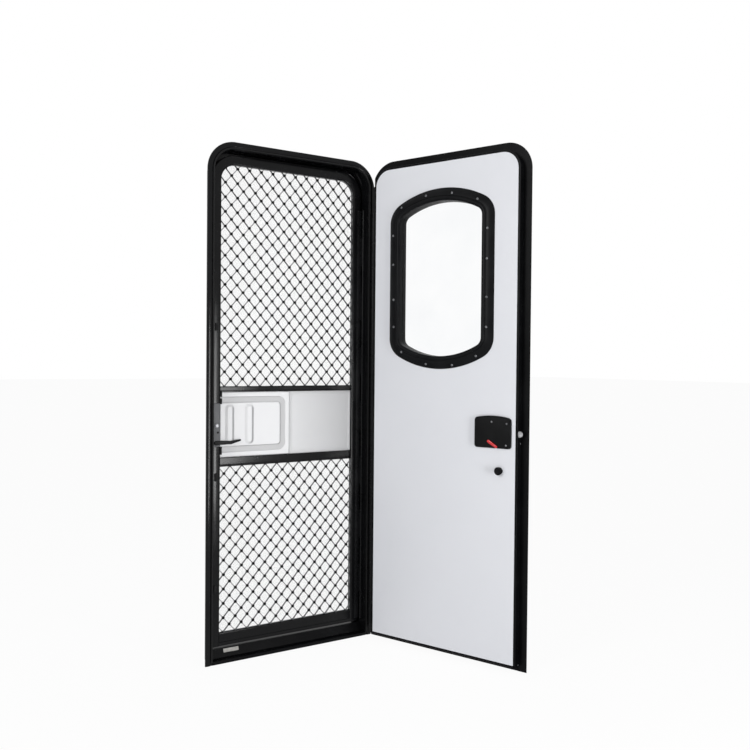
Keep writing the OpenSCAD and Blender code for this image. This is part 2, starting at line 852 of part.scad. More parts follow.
// Red release lever on the face of the latch box, slanting down towards the door's edge
module latch_lever() {
  color("red") door_pose() translate([latch_lever_x, 0, latch_lever_z])
    upright(door_inner_y + box_proud + touch, lever_t) rotate(210) {
      circle(r = latch_lever_r, $fn = pin_fn);
      plate([0, -latch_lever_r], [latch_lever_l, latch_lever_r]);
      translate([latch_lever_l, 0]) circle(r = latch_lever_r, $fn = pin_fn);
    }
}

module latch_bolt() {
  tip = edge_wall_s - bolt_throw;
  dome_r = 13;
  color(steel) door_pose() {
    intersection() {
      bolt_space(tip, tip + dome_r, 0);
      translate([-half_w + tip + dome_r, bolt_y, bolt_h]) sphere(r = dome_r, $fn = arc_fn);
    }
    bolt_space(tip + dome_r, edge_wall_s + section_t + bolt_body - bolt_throw - 1, 0);
  }
}

knob_x = -half_w + edge_lip_s + 58;
knob_r = 14;
knob_h = 14;

// Round pull knob with a narrower neck
module pull_knob() {
  color(rubber_black) door_pose() translate([knob_x, door_inner_y, z_low + pull_knob_z]) rotate([-90, 0, 0])
    rotate_extrude($fn = arc_fn) {
      plate([0, 0], [knob_r - 2, 2]);
      plate([0, 0], [knob_r - 5, knob_h]);
      plate([0, knob_h - 6], [knob_r - 2, knob_h]);
      plate([0, knob_h - 4], [knob_r, knob_h - 2]);
      for (y = [knob_h - 4, knob_h - 2]) translate([knob_r - 2, y]) circle(r = 2, $fn = pin_fn);
    }
}

handle_w = 124;
handle_h = 104;
handle_x = -half_w + edge_lip_s + 20;
handle_low = bolt_h - handle_h / 2;
handle_proud = 9;
paddle_gap = 4;

// Flush outer handle: a rounded housing with a finger recess behind the paddle
module outer_handle_housing() {
  color(frame_black) door_pose() difference() {
    upright(door_front_y - handle_proud, handle_proud)
      rounded([handle_x, handle_low], [handle_x + handle_w, handle_low + handle_h], 14);
    upright(door_front_y - handle_proud - 1, handle_proud - 2)
      rounded([handle_x + 10, handle_low + 12], [handle_x + handle_w - 10, handle_low + 70], 8);
  }
}

module outer_handle_paddle() {
  color(steel) door_pose() upright(door_front_y - handle_proud + 1, handle_proud - 4)
    rounded([handle_x + 10 + paddle_gap, handle_low + 36], [handle_x + handle_w - 10 - paddle_gap, handle_low + 66], 5);
}

module lock_cylinder() {
  color(steel) door_pose() translate([handle_x + handle_w / 2, door_front_y - handle_proud, handle_low + 86])
    rotate([90, 0, 0]) difference() {
      cylinder(r = 10, h = 4, $fn = pin_fn);
      translate([-1, -5, 2]) cube([2, 10, 3]);
    }
}

frame_jamb_latch();
frame_jamb_hinge();
frame_head();
frame_sill();
frame_seal();
strike_plate();
door_hinge_fixed_leaf();
door_hinge_pin();
screen_hinge_fixed_leaf();
screen_hinge_pin();
screen_stile_latch();
screen_stile_hinge();
screen_head();
screen_bottom_rail();
screen_upper_rail();
screen_lower_rail();
screen_hinge_leaf();
grille_upper();
grille_lower();
flyscreen_upper();
flyscreen_lower();
fixed_panel();
screen_lock_body();
screen_buffers();
sliding_hatch();
screen_lever();
door_edge_latch();
door_edge_hinge();
door_edge_head();
door_edge_bottom();
door_core();
door_inner_skin();
door_outer_skin();
door_hinge_leaf();
window_inner_ring();
window_outer_ring();
window_pane();
latch_box();
pull_knob();
outer_handle_housing();
outer_handle_paddle();
lock_cylinder();
latch_lever();
latch_bolt();
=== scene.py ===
"""Caravan entry door: the finish of the wall frame, the main door and the security screen.

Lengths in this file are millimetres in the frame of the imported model, apart from those of coats, light
and camera, which are metres. Shapes turn to metres when a mesh is made. Main-door shapes are worked out
for the closed door and then swung open.
"""
import math
import bpy
import bmesh
import numpy as np
from mathutils import Matrix, Vector


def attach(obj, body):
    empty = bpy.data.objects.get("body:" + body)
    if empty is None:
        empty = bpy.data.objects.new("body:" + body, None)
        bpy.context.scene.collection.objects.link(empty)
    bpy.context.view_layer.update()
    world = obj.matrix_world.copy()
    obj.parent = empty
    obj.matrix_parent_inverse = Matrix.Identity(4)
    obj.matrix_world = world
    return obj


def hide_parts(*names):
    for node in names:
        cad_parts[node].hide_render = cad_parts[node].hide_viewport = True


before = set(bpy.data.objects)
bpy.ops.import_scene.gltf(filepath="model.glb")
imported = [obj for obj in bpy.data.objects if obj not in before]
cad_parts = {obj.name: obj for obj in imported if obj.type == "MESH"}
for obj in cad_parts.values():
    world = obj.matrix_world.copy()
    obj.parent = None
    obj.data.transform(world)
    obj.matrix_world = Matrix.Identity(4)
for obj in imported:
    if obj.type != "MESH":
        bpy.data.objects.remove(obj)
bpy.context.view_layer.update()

MM = 0.001

# Main door: hinge axis (x, y), the angle it stands open by, and the bodies that swing with it
DOOR_AXIS = np.array([323.0, -11.0])
DOOR_OPEN = math.radians(112)
DOOR_BODIES = ("main_door", "latch_bolt", "latch_lever")

# Wall frame and door edge: half width, foot, head and radius of the bends; slot for the bolt
HALF_W, Z_LOW, Z_TOP, BEND_R = 331.0, -4.5, 1785.5, 100.0
SLOT_Y, SLOT_Z = (0.3, 15.7), (787.3, 811.7)

# Screen: half width, foot, head and bends; half length of its rails; white band, its two panels and the
# two grille fields; strips cross every STRIP_PITCH across and every ROW_PITCH up
SCREEN_HALF_W, SCREEN_LOW, SCREEN_TOP, SCREEN_BEND_R = 297.0, 40.5, 1751.5, 86.0
RAIL_REACH = 263.9
BAND = (700.0, 927.0)
HATCH_X, PANEL_X = (-263.5, 4.0), (-15.5, 263.6)
LOWER_FIELD, UPPER_FIELD = (86.5, 667.5), (947.5, 1718.5)
STRIP_PITCH, ROW_PITCH = 45.0, 25.3

# Window opening: middle (x, z), size, radius of its corners and of its bowed ends
WINDOW = (9.0, 1333.0)
WINDOW_W, WINDOW_H, WINDOW_CORNER_R, WINDOW_END_R = 336.0, 546.0, 30.0, 324.0

# Latch box (x, z), middle of the bolt (y, z), and height of the main hinge's leaves
BOX_X, BOX_Z = (-276.0, -138.0), (749.0, 859.0)
BOLT = np.array([8.0, 799.5])
HINGE_SPAN = (40.5, 1600.5)


# Placing

def swung(p):
    """Closed-door points turned about the hinge axis: a + R (p - a), with R a turn by 112 degrees."""
    c, s = math.cos(DOOR_OPEN), math.sin(DOOR_OPEN)
    dx, dy = p[..., 0] - DOOR_AXIS[0], p[..., 1] - DOOR_AXIS[1]
    return np.stack([DOOR_AXIS[0] + c * dx - s * dy, DOOR_AXIS[1] + s * dx + c * dy, p[..., 2]], -1)


def piece(name, shape, body, coat, replaces=(), crease=32):
    """A closed mesh that rides on a body, from points in millimetres and lists of corner numbers. Edges
    that bend by more than the crease, in degrees, stay sharp."""
    points, faces = shape
    points = np.asarray(points, float).reshape(-1, 3)
    if body in DOOR_BODIES:
        points = swung(points)
    mesh = bpy.data.meshes.new(name)
    mesh.from_pydata((points * MM).tolist(), [], faces)
    bm = bmesh.new()
    bm.from_mesh(mesh)
    bmesh.ops.remove_doubles(bm, verts=bm.verts, dist=2e-6)
    bmesh.ops.recalc_face_normals(bm, faces=bm.faces)
    bm.to_mesh(mesh)
    bm.free()
    mesh.polygons.foreach_set("use_smooth", np.ones(len(mesh.polygons), bool))
    mesh.set_sharp_from_angle(angle=math.radians(crease))
    mesh.materials.append(coat)
    obj = bpy.data.objects.new(name, mesh)
    bpy.context.scene.collection.objects.link(obj)
    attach(obj, body)
    if replaces:
        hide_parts(*replaces)


# Faces

def quads(rows, cols, loop_rows=False, loop_cols=True):
    """Corner numbers of the quads between neighbouring rows and columns of a grid of points."""
    r = np.arange(rows if loop_rows else rows - 1)
    c = np.arange(cols if loop_cols else cols - 1)
    a, b = np.meshgrid(r, c, indexing="ij")
    a2, b2 = (a + 1) % rows, (b + 1) % cols
    return np.stack([a * cols + b, a2 * cols + b, a2 * cols + b2, a * cols + b2], -1).reshape(-1, 4)


def capped(rings, count):
    """Faces of a stack of closed rings of points, with a flat face on its first and its last ring."""
    last = (rings - 1) * count
    return quads(rings, count).tolist() + [list(range(count)), list(range(last, last + count))]


def joined(parts):
    """Several point sets with their faces as one set."""
    points, faces, count = [], [], 0
    for p, f in parts:
        p = np.asarray(p, float).reshape(-1, 3)
        points.append(p)
        faces += [[i + count for i in face] for face in f]
        count += len(p)
    return np.concatenate(points), faces


# Outlines and paths

def full_turn(steps):
    """Angles of a full turn in equal steps."""
    return np.linspace(0, 2 * np.pi, steps, endpoint=False)


def arc(centre, radius, angles):
    """Points centre + radius (cos t, sin t); a pair of radii gives an ellipse."""
    return np.array(centre) + np.array(radius) * np.stack([np.cos(angles), np.sin(angles)], 1)


def apart(outline):
    """Which points of a closed outline lie apart from the one before them."""
    return np.linalg.norm(outline - np.roll(outline, 1, 0), axis=1) > 1e-6


def filleted(corners, steps=4):
    """Each corner (x, y, r) of a closed outline becomes an arc of radius r tangent to its two sides:
    centre = p + unit(a + b) r / sin(half angle), with a and b pointing along the sides."""
    c = np.asarray(corners, float)
    p, r = c[:, :2], c[:, 2]
    a = np.roll(p, 1, 0) - p
    b = np.roll(p, -1, 0) - p
    a /= np.linalg.norm(a, axis=1, keepdims=True)
    b /= np.linalg.norm(b, axis=1, keepdims=True)
    half = np.arccos(np.clip((a * b).sum(1), -1, 1)) / 2
    bend = np.pi - 2 * half
    ok = (r > 0) & (bend > 1e-3)
    r = np.where(ok, r, 0.0)
    bis = a + b
    bis /= np.maximum(np.linalg.norm(bis, axis=1, keepdims=True), 1e-9)
    centre = p + bis * (r / np.sin(half))[:, None]
    start = (p + a * (r / np.tan(half))[:, None] - centre)[:, None]
    end = (p + b * (r / np.tan(half))[:, None] - centre)[:, None]
    k = np.linspace(0, 1, steps + 1)[None, :, None]
    w = np.where(ok, bend, 1.0)[:, None, None]
    ray = (np.sin((1 - k) * w) * start + np.sin(k * w) * end) / np.sin(w)
    out = np.where(ok[:, None, None], centre[:, None] + ray, p[:, None]).reshape(-1, 2)
    return out[apart(out)]


def rounded_box(x0, z0, x1, z1, r, steps=6):
    """Closed outline of a rectangle with round corners."""
    return filleted([(x0, z0, r), (x1, z0, r), (x1, z1, r), (x0, z1, r)], steps)


def fine_outline(outline, pitch=3.0):
    """The outline with its long sides cut into steps of about the pitch."""
    runs = []
    for a, b in zip(outline, np.roll(outline, -1, 0)):
        count = max(1, int(np.linalg.norm(b - a) / pitch))
        runs.append(a + (b - a) * np.linspace(0, 1, count, endpoint=False)[:, None])
    return np.concatenate(runs)


def head_path(half_w, low, top, r, steps=28):
    """Up the left side, round a bend of radius r, along the head, round and down: places in (x, z) and
    the unit step inwards at each, which on a bend points at the bend's centre."""
    t = np.linspace(0, np.pi / 2, steps + 1)
    left = np.stack([-half_w + r - r * np.cos(t), top - r + r * np.sin(t)], 1)
    left_in = np.stack([np.cos(t), -np.sin(t)], 1)
    right, right_in = left[::-1] * [-1, 1], left_in[::-1] * [-1, 1]
    places = np.concatenate([[[-half_w, low]], left, right, [[half_w, low]]])
    inward = np.concatenate([[[1, 0]], left_in, right_in, [[-1, 0]]])
    return places, inward


def window_path():
    """Closed outline of the window opening and the unit step outwards at each of its points. Corners and
    bowed ends are arcs (centre, radius, from, to, steps) that meet where both point the same way, at
    asin((w - r) / (R - r)) from upright for half width w and radii r and R; straight sides join them."""
    w, h, r = WINDOW_W / 2, WINDOW_H / 2, WINDOW_CORNER_R
    between_radii = WINDOW_END_R - r
    lean = math.asin((w - r) / between_radii)
    drop = between_radii * math.cos(lean)
    x, z = w - r, h - WINDOW_END_R + drop
    up, left, down, right = math.pi / 2, math.pi, 3 * math.pi / 2, 2 * math.pi
    arcs = [((x, z), r, 0, up - lean, 12),
            ((0, z - drop), WINDOW_END_R, up - lean, up + lean, 30),
            ((-x, z), r, up + lean, left, 12),
            ((-x, -z), r, left, down - lean, 12),
            ((0, drop - z), WINDOW_END_R, down - lean, down + lean, 30),
            ((x, -z), r, down + lean, right, 12)]
    places, outward = [], []
    for centre, radius, start, end, steps in arcs:
        angles = np.linspace(start, end, steps + 1)
        places.append(arc(centre, radius, angles))
        outward.append(arc((0, 0), 1, angles))
    places, outward = np.concatenate(places) + WINDOW, np.concatenate(outward)
    keep = apart(places)
    return places[keep], outward[keep]


def inward_steps(outline):
    """Mitred step inwards at each corner of a closed outline: (n1 + n2) / (1 + n1.n2)."""
    edge = np.roll(outline, -1, 0) - outline
    edge /= np.linalg.norm(edge, axis=1, keepdims=True)
    x, z = outline[:, 0], outline[:, 1]
    turn = np.sign(np.sum(x * np.roll(z, -1) - np.roll(x, -1) * z))
    normal = np.stack([-edge[:, 1], edge[:, 0]], 1) * turn
    before = np.roll(normal, 1, 0)
    return (normal + before) / (1 + (normal * before).sum(1, keepdims=True))


# Shapes: each gives points and faces

def at_depth(flat, y):
    """An array of places (x, z) as points (x, y, z), each at its depth y."""
    return np.stack([flat[..., 0], np.broadcast_to(y, flat.shape[:2]), flat[..., 1]], -1)


def carried(path, profile, loop=False):
    """Point (i, j) = place_i + s_j step_i in the upright plane, at depth y_j: a profile along a path."""
    places, step = path
    s, y = profile[:, 0], profile[:, 1]
    flat = places[:, None, :] + s[None, :, None] * step[:, None, :]
    n, m = flat.shape[:2]
    return at_depth(flat, y), quads(n, m, True).tolist() if loop else capped(n, m)


def shell(outline, rings):
    """Ring k is the outline moved inwards by rings[k][0] at depth rings[k][1], with a flat face at each
    end."""
    rings = np.asarray(rings, float)
    flat = outline[None] + rings[:, 0, None, None] * inward_steps(outline)[None]
    return at_depth(flat, rings[:, 1, None]), capped(*flat.shape[:2])


def soft_edge(back, front, r, steps=4, start=0.0):
    """Rings of a plate from its back to its front, whose front edge is a quarter circle of radius r. The
    start is how far inwards the first ring lies."""
    t = np.linspace(0, np.pi / 2, steps + 1)
    way = np.sign(front - back)
    curve = np.stack([start + r - r * np.cos(t), front - way * (r - r * np.sin(t))], 1)
    return np.concatenate([[[start, back]], curve])


def bar(section, x0, x1):
    """A closed section (y, z) carried straight along x."""
    points = np.stack([np.column_stack([np.full(len(section), x), section]) for x in (x0, x1)])
    return points, capped(2, len(section))


def upright_strip(outline, low, top):
    """A closed outline (x, y) carried straight up."""
    points = np.stack([np.column_stack([outline, np.full(len(outline), z)]) for z in (low, top)])
    return points, capped(2, len(outline))


def directions(axis):
    """The unit axis and two unit directions square to it and to each other."""
    axis = np.asarray(axis, float) / np.linalg.norm(axis)
    u = np.cross(axis, [0.0, 0.0, 1.0] if abs(axis[2]) < 0.9 else [1.0, 0.0, 0.0])
    u /= np.linalg.norm(u)
    return axis, u, np.cross(axis, u)


def turned(centre, axis, profile, steps=40):
    """Profile (r, h) turned about an axis: centre + h axis + r (u cos t + v sin t), closed where r is 0."""
    axis, u, v = directions(axis)
    t = full_turn(steps)
    r, h = np.asarray(profile, float).T
    ring = np.cos(t)[:, None] * u + np.sin(t)[:, None] * v
    points = np.asarray(centre, float) + h[:, None, None] * axis + r[:, None, None] * ring[None]
    return points, capped(len(r), steps)


def relief(x_span, z_span, back, front, pitch=1.25):
    """A plate whose front is the height field y = front(x, z) on a grid; its rear is flat at the depth
    back, or the height field y = back(x, z)."""
    x = np.linspace(*x_span, int((x_span[1] - x_span[0]) / pitch) + 2)
    z = np.linspace(*z_span, int((z_span[1] - z_span[0]) / pitch) + 2)
    gx, gz = np.meshgrid(x, z, indexing="ij")
    n, m = gx.shape
    number = np.arange(n * m).reshape(n, m)
    rim = np.concatenate([number[:-1, 0], number[-1, :-1], number[:0:-1, -1], number[0, :0:-1]])
    grid = quads(n, m, False, False)
    face = np.stack([gx, front(gx, gz), gz], -1).reshape(-1, 3)
    if callable(back):
        rear = np.stack([gx, back(gx, gz), gz], -1).reshape(-1, 3)
        rear_rim = rim + n * m
        rear_faces = (grid[:, ::-1] + n * m).tolist()
    else:
        rear = face[rim] * [1, 0, 1] + [0, back, 0]
        rear_rim = np.arange(len(rim)) + n * m
        rear_faces = [rear_rim.tolist()]
    sides = np.stack([rim, np.roll(rim, -1), np.roll(rear_rim, -1), rear_rim], 1)
    return np.concatenate([face, rear]), grid.tolist() + rear_faces + sides.tolist()


def off_box(x, z, x0, x1, z0, z1, r):
    """Signed distance from a rectangle with round corners, below zero inside."""
    cx, cz = (x0 + x1) / 2, (z0 + z1) / 2
    qx, qz = np.abs(x - cx) - (x1 - x0) / 2 + r, np.abs(z - cz) - (z1 - z0) / 2 + r
    return np.hypot(np.maximum(qx, 0), np.maximum(qz, 0)) + np.minimum(np.maximum(qx, qz), 0) - r


def ease(d, width):
    """Smooth step k k (3 - 2 k) from 1 inside to 0 outside, over a width centred on distance 0."""
    k = np.clip(0.5 - d / width, 0, 1)
    return k * k * (3 - 2 * k)


def screw_heads(seats, axis, r=3.6, height=1.6):
    """Pan heads at several seats: h(q) = H (1 - 0.75 q^4 - 0.5 c) at the share q of the radius. The cross
    c is 1 where one of the head's own two coordinates is under 0.12 r and the other under 0.5 r, and
    fades out over 0.08 r. Each head is turned on by 0.7 radians from the one before."""
    axis, u, v = directions(axis)
    q = np.array([0, 0.1, 0.16, 0.26, 0.4, 0.52, 0.6, 0.75, 0.88, 0.96, 1.0, 1.0])[:, None]
    t = full_turn(32)
    n, m = q.size, t.size
    flat = r * q[..., None] * (np.cos(t)[:, None] * u + np.sin(t)[:, None] * v)
    faces = quads(n, m).tolist() + [list(range((n - 1) * m, n * m))]
    parts = []
    for k, seat in enumerate(seats):
        a, b = np.abs(q * np.cos(t - 0.7 * k)), np.abs(q * np.sin(t - 0.7 * k))
        near, far = np.minimum(a, b), np.maximum(a, b)
        cross = np.clip((0.2 - near) / 0.08, 0, 1) * np.clip((0.58 - far) / 0.08, 0, 1)
        h = height * (1 - 0.75 * q ** 4 - 0.5 * cross)
        h[-1] = -0.2
        parts.append((np.asarray(seat, float) + flat + h[..., None] * axis, faces))
    return joined(parts)


# Nodes of the coats

def shade(name):
    """A material with its node tree, its shader and Object coordinates."""
    m = bpy.data.materials.new(name)
    m.use_nodes = True
    nodes = m.node_tree.nodes
    return m, m.node_tree, nodes["Principled BSDF"], nodes.new("ShaderNodeTexCoord").outputs["Object"]


def feed(tree, socket, value):
    """Gives an input the output of another node, a colour or a plain value."""
    if isinstance(value, bpy.types.NodeSocket):
        tree.links.new(value, socket)
    elif isinstance(value, tuple):
        socket.default_value = (*value, 1)
    else:
        socket.default_value = value


def axes(tree, where):
    """The three coordinates of a place, as outputs X, Y and Z."""
    split = tree.nodes.new("ShaderNodeSeparateXYZ")
    tree.links.new(where, split.inputs[0])
    return split.outputs


def maths(tree, kind, *values):
    """Result of a Math node of a kind on one or two values."""
    node = tree.nodes.new("ShaderNodeMath")
    node.operation = kind
    for socket, value in zip(node.inputs, values):
        feed(tree, socket, value)
    return node.outputs[0]


def speckle(tree, where, scale, detail=3.0, stretch=None):
    """Noise in Object coordinates; stretch makes it longer along an axis."""
    if stretch:
        mapping = tree.nodes.new("ShaderNodeMapping")
        mapping.inputs["Scale"].default_value = stretch
        tree.links.new(where, mapping.inputs["Vector"])
        where = mapping.outputs["Vector"]
    noise = tree.nodes.new("ShaderNodeTexNoise")
    noise.inputs["Scale"].default_value = scale
    noise.inputs["Detail"].default_value = detail
    tree.links.new(where, noise.inputs["Vector"])
    return noise.outputs["Fac"]


def spread(tree, value, low, high, start=0.3, end=0.7):
    """A value mapped from start..end to low..high."""
    node = tree.nodes.new("ShaderNodeMapRange")
    for key, v in (("From Min", start), ("From Max", end), ("To Min", low), ("To Max", high)):
        node.inputs[key].default_value = v
    tree.links.new(value, node.inputs["Value"])
    return node.outputs["Result"]


def between(tree, value, first, second):
    """Colour between two, by a value; each of the two is a colour or the output of a node."""
    mix = tree.nodes.new("ShaderNodeMix")
    mix.data_type = "RGBA"
    for key, source in (("A", first), ("B", second), ("Factor", value)):
        feed(tree, mix.inputs[key], source)
    return mix.outputs["Result"]


def bumped(tree, shader, parts):
    """Bumps (height, distance in metres, strength) one on another into the shader's normal."""
    last = None
    for height, distance, strength in parts:
        node = tree.nodes.new("ShaderNodeBump")
        node.inputs["Distance"].default_value = distance
        node.inputs["Strength"].default_value = strength
        tree.links.new(height, node.inputs["Height"])
        if last is not None:
            tree.links.new(last, node.inputs["Normal"])
        last = node.outputs["Normal"]
    tree.links.new(last, shader.inputs["Normal"])


def grained(tree, shader, where, scale, rough, depth, strength):
    """A fine grain that varies the roughness between two values and bumps the surface."""
    fine = speckle(tree, where, scale)
    tree.links.new(spread(tree, fine, *rough), shader.inputs["Roughness"])
    bumped(tree, shader, [(fine, depth, strength)])


def blended(tree, share, first, second):
    """Sends a blend of two shaders, with a share of the second, to the material's output."""
    mix = tree.nodes.new("ShaderNodeMixShader")
    for socket, source in zip(mix.inputs, (share, first.outputs[0], second.outputs[0])):
        tree.links.new(source, socket)
    tree.links.new(mix.outputs[0], tree.nodes["Material Output"].inputs["Surface"])


# Coats

def painted(name, first, second, rough, grain, depth, level=0.5, patch=9.0, metal=0.0, stretch=None):
    """A coat with patches between two colours, roughness that varies with the patches and with a fine
    grain, and bumps of both: the patches are 1.5 mm deep at strength 0.12, the grain has its own depth."""
    m, tree, shader, where = shade(name)
    patches = speckle(tree, where, patch, 4.0)
    fine = speckle(tree, where, grain, 3.0, stretch)
    colour = between(tree, spread(tree, patches, 0, 1), first, second)
    gloss = maths(tree, "ADD", spread(tree, fine, *rough), spread(tree, patches, -0.04, 0.04))
    settings = {"Base Color": colour, "Roughness": gloss, "Specular IOR Level": level, "Metallic": metal}
    for key, value in settings.items():
        feed(tree, shader.inputs[key], value)
    bumped(tree, shader, [(patches, 0.0015, 0.12), (fine, depth, 0.6)])
    return m


powder_black = painted("powder_black", (0.0020, 0.0021, 0.0024), (0.0042, 0.0044, 0.0049),
                       rough=(0.20, 0.30), grain=650, depth=0.00008, level=0.07)
frame_black = painted("frame_black", (0.0028, 0.0029, 0.0033), (0.0052, 0.0054, 0.0060),
                      rough=(0.11, 0.16), grain=500, depth=0.00003, level=0.14)
screen_black = painted("screen_black", (0.0026, 0.0027, 0.0031), (0.0050, 0.0052, 0.0058),
                       rough=(0.13, 0.18), grain=700, depth=0.00003, level=0.15)
hinge_black = painted("hinge_black", (0.0040, 0.0042, 0.0047), (0.0075, 0.0078, 0.0086),
                      rough=(0.24, 0.34), grain=400, depth=0.00010, level=0.2, stretch=(1, 1, 0.2))
rivet_black = painted("rivet_black", (0.0025, 0.0026, 0.0029), (0.0045, 0.0047, 0.0052),
                      rough=(0.36, 0.48), grain=900, depth=0.00008, level=0.08, patch=14)
moulded_black = painted("moulded_black", (0.0035, 0.0037, 0.0043), (0.0068, 0.0071, 0.0079),
                        rough=(0.28, 0.40), grain=1100, depth=0.00008, level=0.07, patch=16)
box_black = painted("box_black", (0.0022, 0.0023, 0.0026), (0.0046, 0.0048, 0.0053),
                    rough=(0.30, 0.42), grain=1300, depth=0.00012, level=0.10, patch=20)
seal_black = painted("seal_black", (0.0035, 0.0035, 0.0038), (0.0065, 0.0065, 0.0070),
                     rough=(0.55, 0.75), grain=800, depth=0.0002, level=0.2, patch=25)
skin_white = painted("skin_white", (0.712, 0.724, 0.762), (0.732, 0.743, 0.780),
                     rough=(0.30, 0.40), grain=260, depth=0.00010, level=0.4, patch=3.5)
field_white = painted("field_white", (0.640, 0.643, 0.653), (0.665, 0.668, 0.677),
                      rough=(0.36, 0.46), grain=1200, depth=0.00006, level=0.4, patch=8)
foam_white = painted("foam_white", (0.62, 0.60, 0.54), (0.70, 0.68, 0.62),
                     rough=(0.8, 0.95), grain=300, depth=0.0006, level=0.3, patch=30)
zinc = painted("zinc", (0.52, 0.53, 0.55), (0.66, 0.67, 0.69),
               rough=(0.22, 0.38), grain=500, depth=0.00008, patch=40, metal=1.0)
lock_alloy = painted("lock_alloy", (0.20, 0.205, 0.215), (0.32, 0.325, 0.34),
                     rough=(0.30, 0.42), grain=600, depth=0.00008, patch=60, metal=0.5)
bare_silver = painted("bare_silver", (0.20, 0.195, 0.185), (0.30, 0.295, 0.28), rough=(0.30, 0.42),
                      grain=260, depth=0.00006, patch=60, metal=0.7, stretch=(0.05, 1, 1))
bolt_grey = painted("bolt_grey", (0.26, 0.263, 0.272), (0.36, 0.363, 0.375),
                    rough=(0.18, 0.28), grain=600, depth=0.00006, level=0.6, patch=60)
release_red = painted("release_red", (0.50, 0.008, 0.012), (0.60, 0.014, 0.018),
                      rough=(0.16, 0.24), grain=700, depth=0.00005, level=0.55, patch=40)
lock_grey = painted("lock_grey", (0.075, 0.077, 0.083), (0.098, 0.100, 0.107),
                    rough=(0.34, 0.46), grain=900, depth=0.00010, level=0.3, patch=30)
screw_grey = painted("screw_grey", (0.10, 0.102, 0.108), (0.20, 0.203, 0.212),
                     rough=(0.25, 0.38), grain=900, depth=0.00006, patch=90, metal=0.6)


def painted_shade_across(m, start, end, colour):
    """Blends a coat's colour towards another along x, between two places in metres, as painted shade."""
    tree = m.node_tree
    base = tree.nodes["Principled BSDF"].inputs["Base Color"]
    where = tree.nodes.new("ShaderNodeTexCoord").outputs["Object"]
    share = spread(tree, axes(tree, where)["X"], 0, 1, start, end)
    tree.links.new(between(tree, share, base.links[0].from_socket, colour), base)


# Painted shade: the fixed panel's white darkens along x, from 20 mm to 270 mm.
painted_shade_across(field_white, 0.02, 0.27, (0.455, 0.458, 0.468))


def hatch_plastic():
    """White moulding with painted shade: its colour falls off towards the floor of its groove, at y 48.6 mm,
    and on slopes that face the hinge side or down, away from the key lamp: where normal . (0.9, 0, -0.35)
    rises from 0.05 to 0.36."""
    m, tree, shader, where = shade("tray_white")
    patches = spread(tree, speckle(tree, where, 8.0), 0, 1)
    unshaded = between(tree, patches, (0.725, 0.728, 0.740), (0.748, 0.751, 0.761))
    # Painted shade: darker with depth in the groove, from y 46.2 mm to 48.6 mm.
    deep = spread(tree, axes(tree, where)["Y"], 0, 1, 0.0462, 0.0486)
    groove_shaded = between(tree, deep, unshaded, (0.490, 0.490, 0.498))
    # Painted shade on slopes turned away from the key lamp.
    facing = tree.nodes.new("ShaderNodeVectorMath")
    facing.operation = "DOT_PRODUCT"
    facing.inputs[1].default_value = (0.9, 0.0, -0.35)
    tree.links.new(tree.nodes.new("ShaderNodeNewGeometry").outputs["Normal"], facing.inputs[0])
    lee_shade = spread(tree, facing.outputs["Value"], 0, 1, 0.05, 0.36)
    feed(tree, shader.inputs["Base Color"], between(tree, lee_shade, groove_shaded, (0.370, 0.370, 0.378)))
    grained(tree, shader, where, 1200, (0.34, 0.46), 0.00006, 0.5)
    return m


def lattice_coat():
    """Coat of the crossing strips: each point belongs to the strip whose line it is nearer to. With h the
    height over the foot of its field, the two sets of lines are x / STRIP_PITCH + h / (2 ROW_PITCH) and
    x / STRIP_PITCH - h / (2 ROW_PITCH) at whole numbers, and one set is paler, as painted light, the other
    darker, as painted shade."""
    m, tree, shader, where = shade("grille_coat")
    place = axes(tree, where)
    lower, upper = LOWER_FIELD[0] * MM, UPPER_FIELD[0] * MM
    over = maths(tree, "GREATER_THAN", place["Z"], 0.81)
    foot = maths(tree, "ADD", maths(tree, "MULTIPLY", over, upper - lower), lower)
    across = maths(tree, "DIVIDE", place["X"], STRIP_PITCH * MM)
    height = maths(tree, "DIVIDE", maths(tree, "SUBTRACT", place["Z"], foot), 2 * ROW_PITCH * MM)
    rising, falling = [maths(tree, "PINGPONG", maths(tree, kind, across, height), 0.5)
                       for kind in ("ADD", "SUBTRACT")]
    patches = spread(tree, speckle(tree, where, 14.0), 0, 1)
    # Painted shade and painted light: the two sets of strips take a dark and a pale tone of one coat.
    shaded_strips = between(tree, patches, (0.028, 0.029, 0.031), (0.048, 0.049, 0.052))
    lit_strips = between(tree, patches, (0.115, 0.117, 0.121), (0.150, 0.152, 0.156))
    colour = between(tree, maths(tree, "GREATER_THAN", falling, rising), shaded_strips, lit_strips)
    feed(tree, shader.inputs["Base Color"], colour)
    feed(tree, shader.inputs["Specular IOR Level"], 0.2)
    grained(tree, shader, where, 900, (0.36, 0.48), 0.00008, 0.6)
    return m


def clear_acrylic():
    """Thin clear sheet: mostly straight through, with a smooth skin that catches light at a slant."""
    m, tree, shader, where = shade("clear_acrylic")
    haze = speckle(tree, where, 6.0, 2.0)
    tint = between(tree, spread(tree, haze, 0, 1), (0.93, 0.94, 0.95), (0.97, 0.975, 0.98))
    settings = {"Base Color": tint, "Roughness": spread(tree, haze, 0.0, 0.03), "IOR": 1.45,
                "Transmission Weight": 1.0}
    for key, value in settings.items():
        feed(tree, shader.inputs[key], value)
    return m


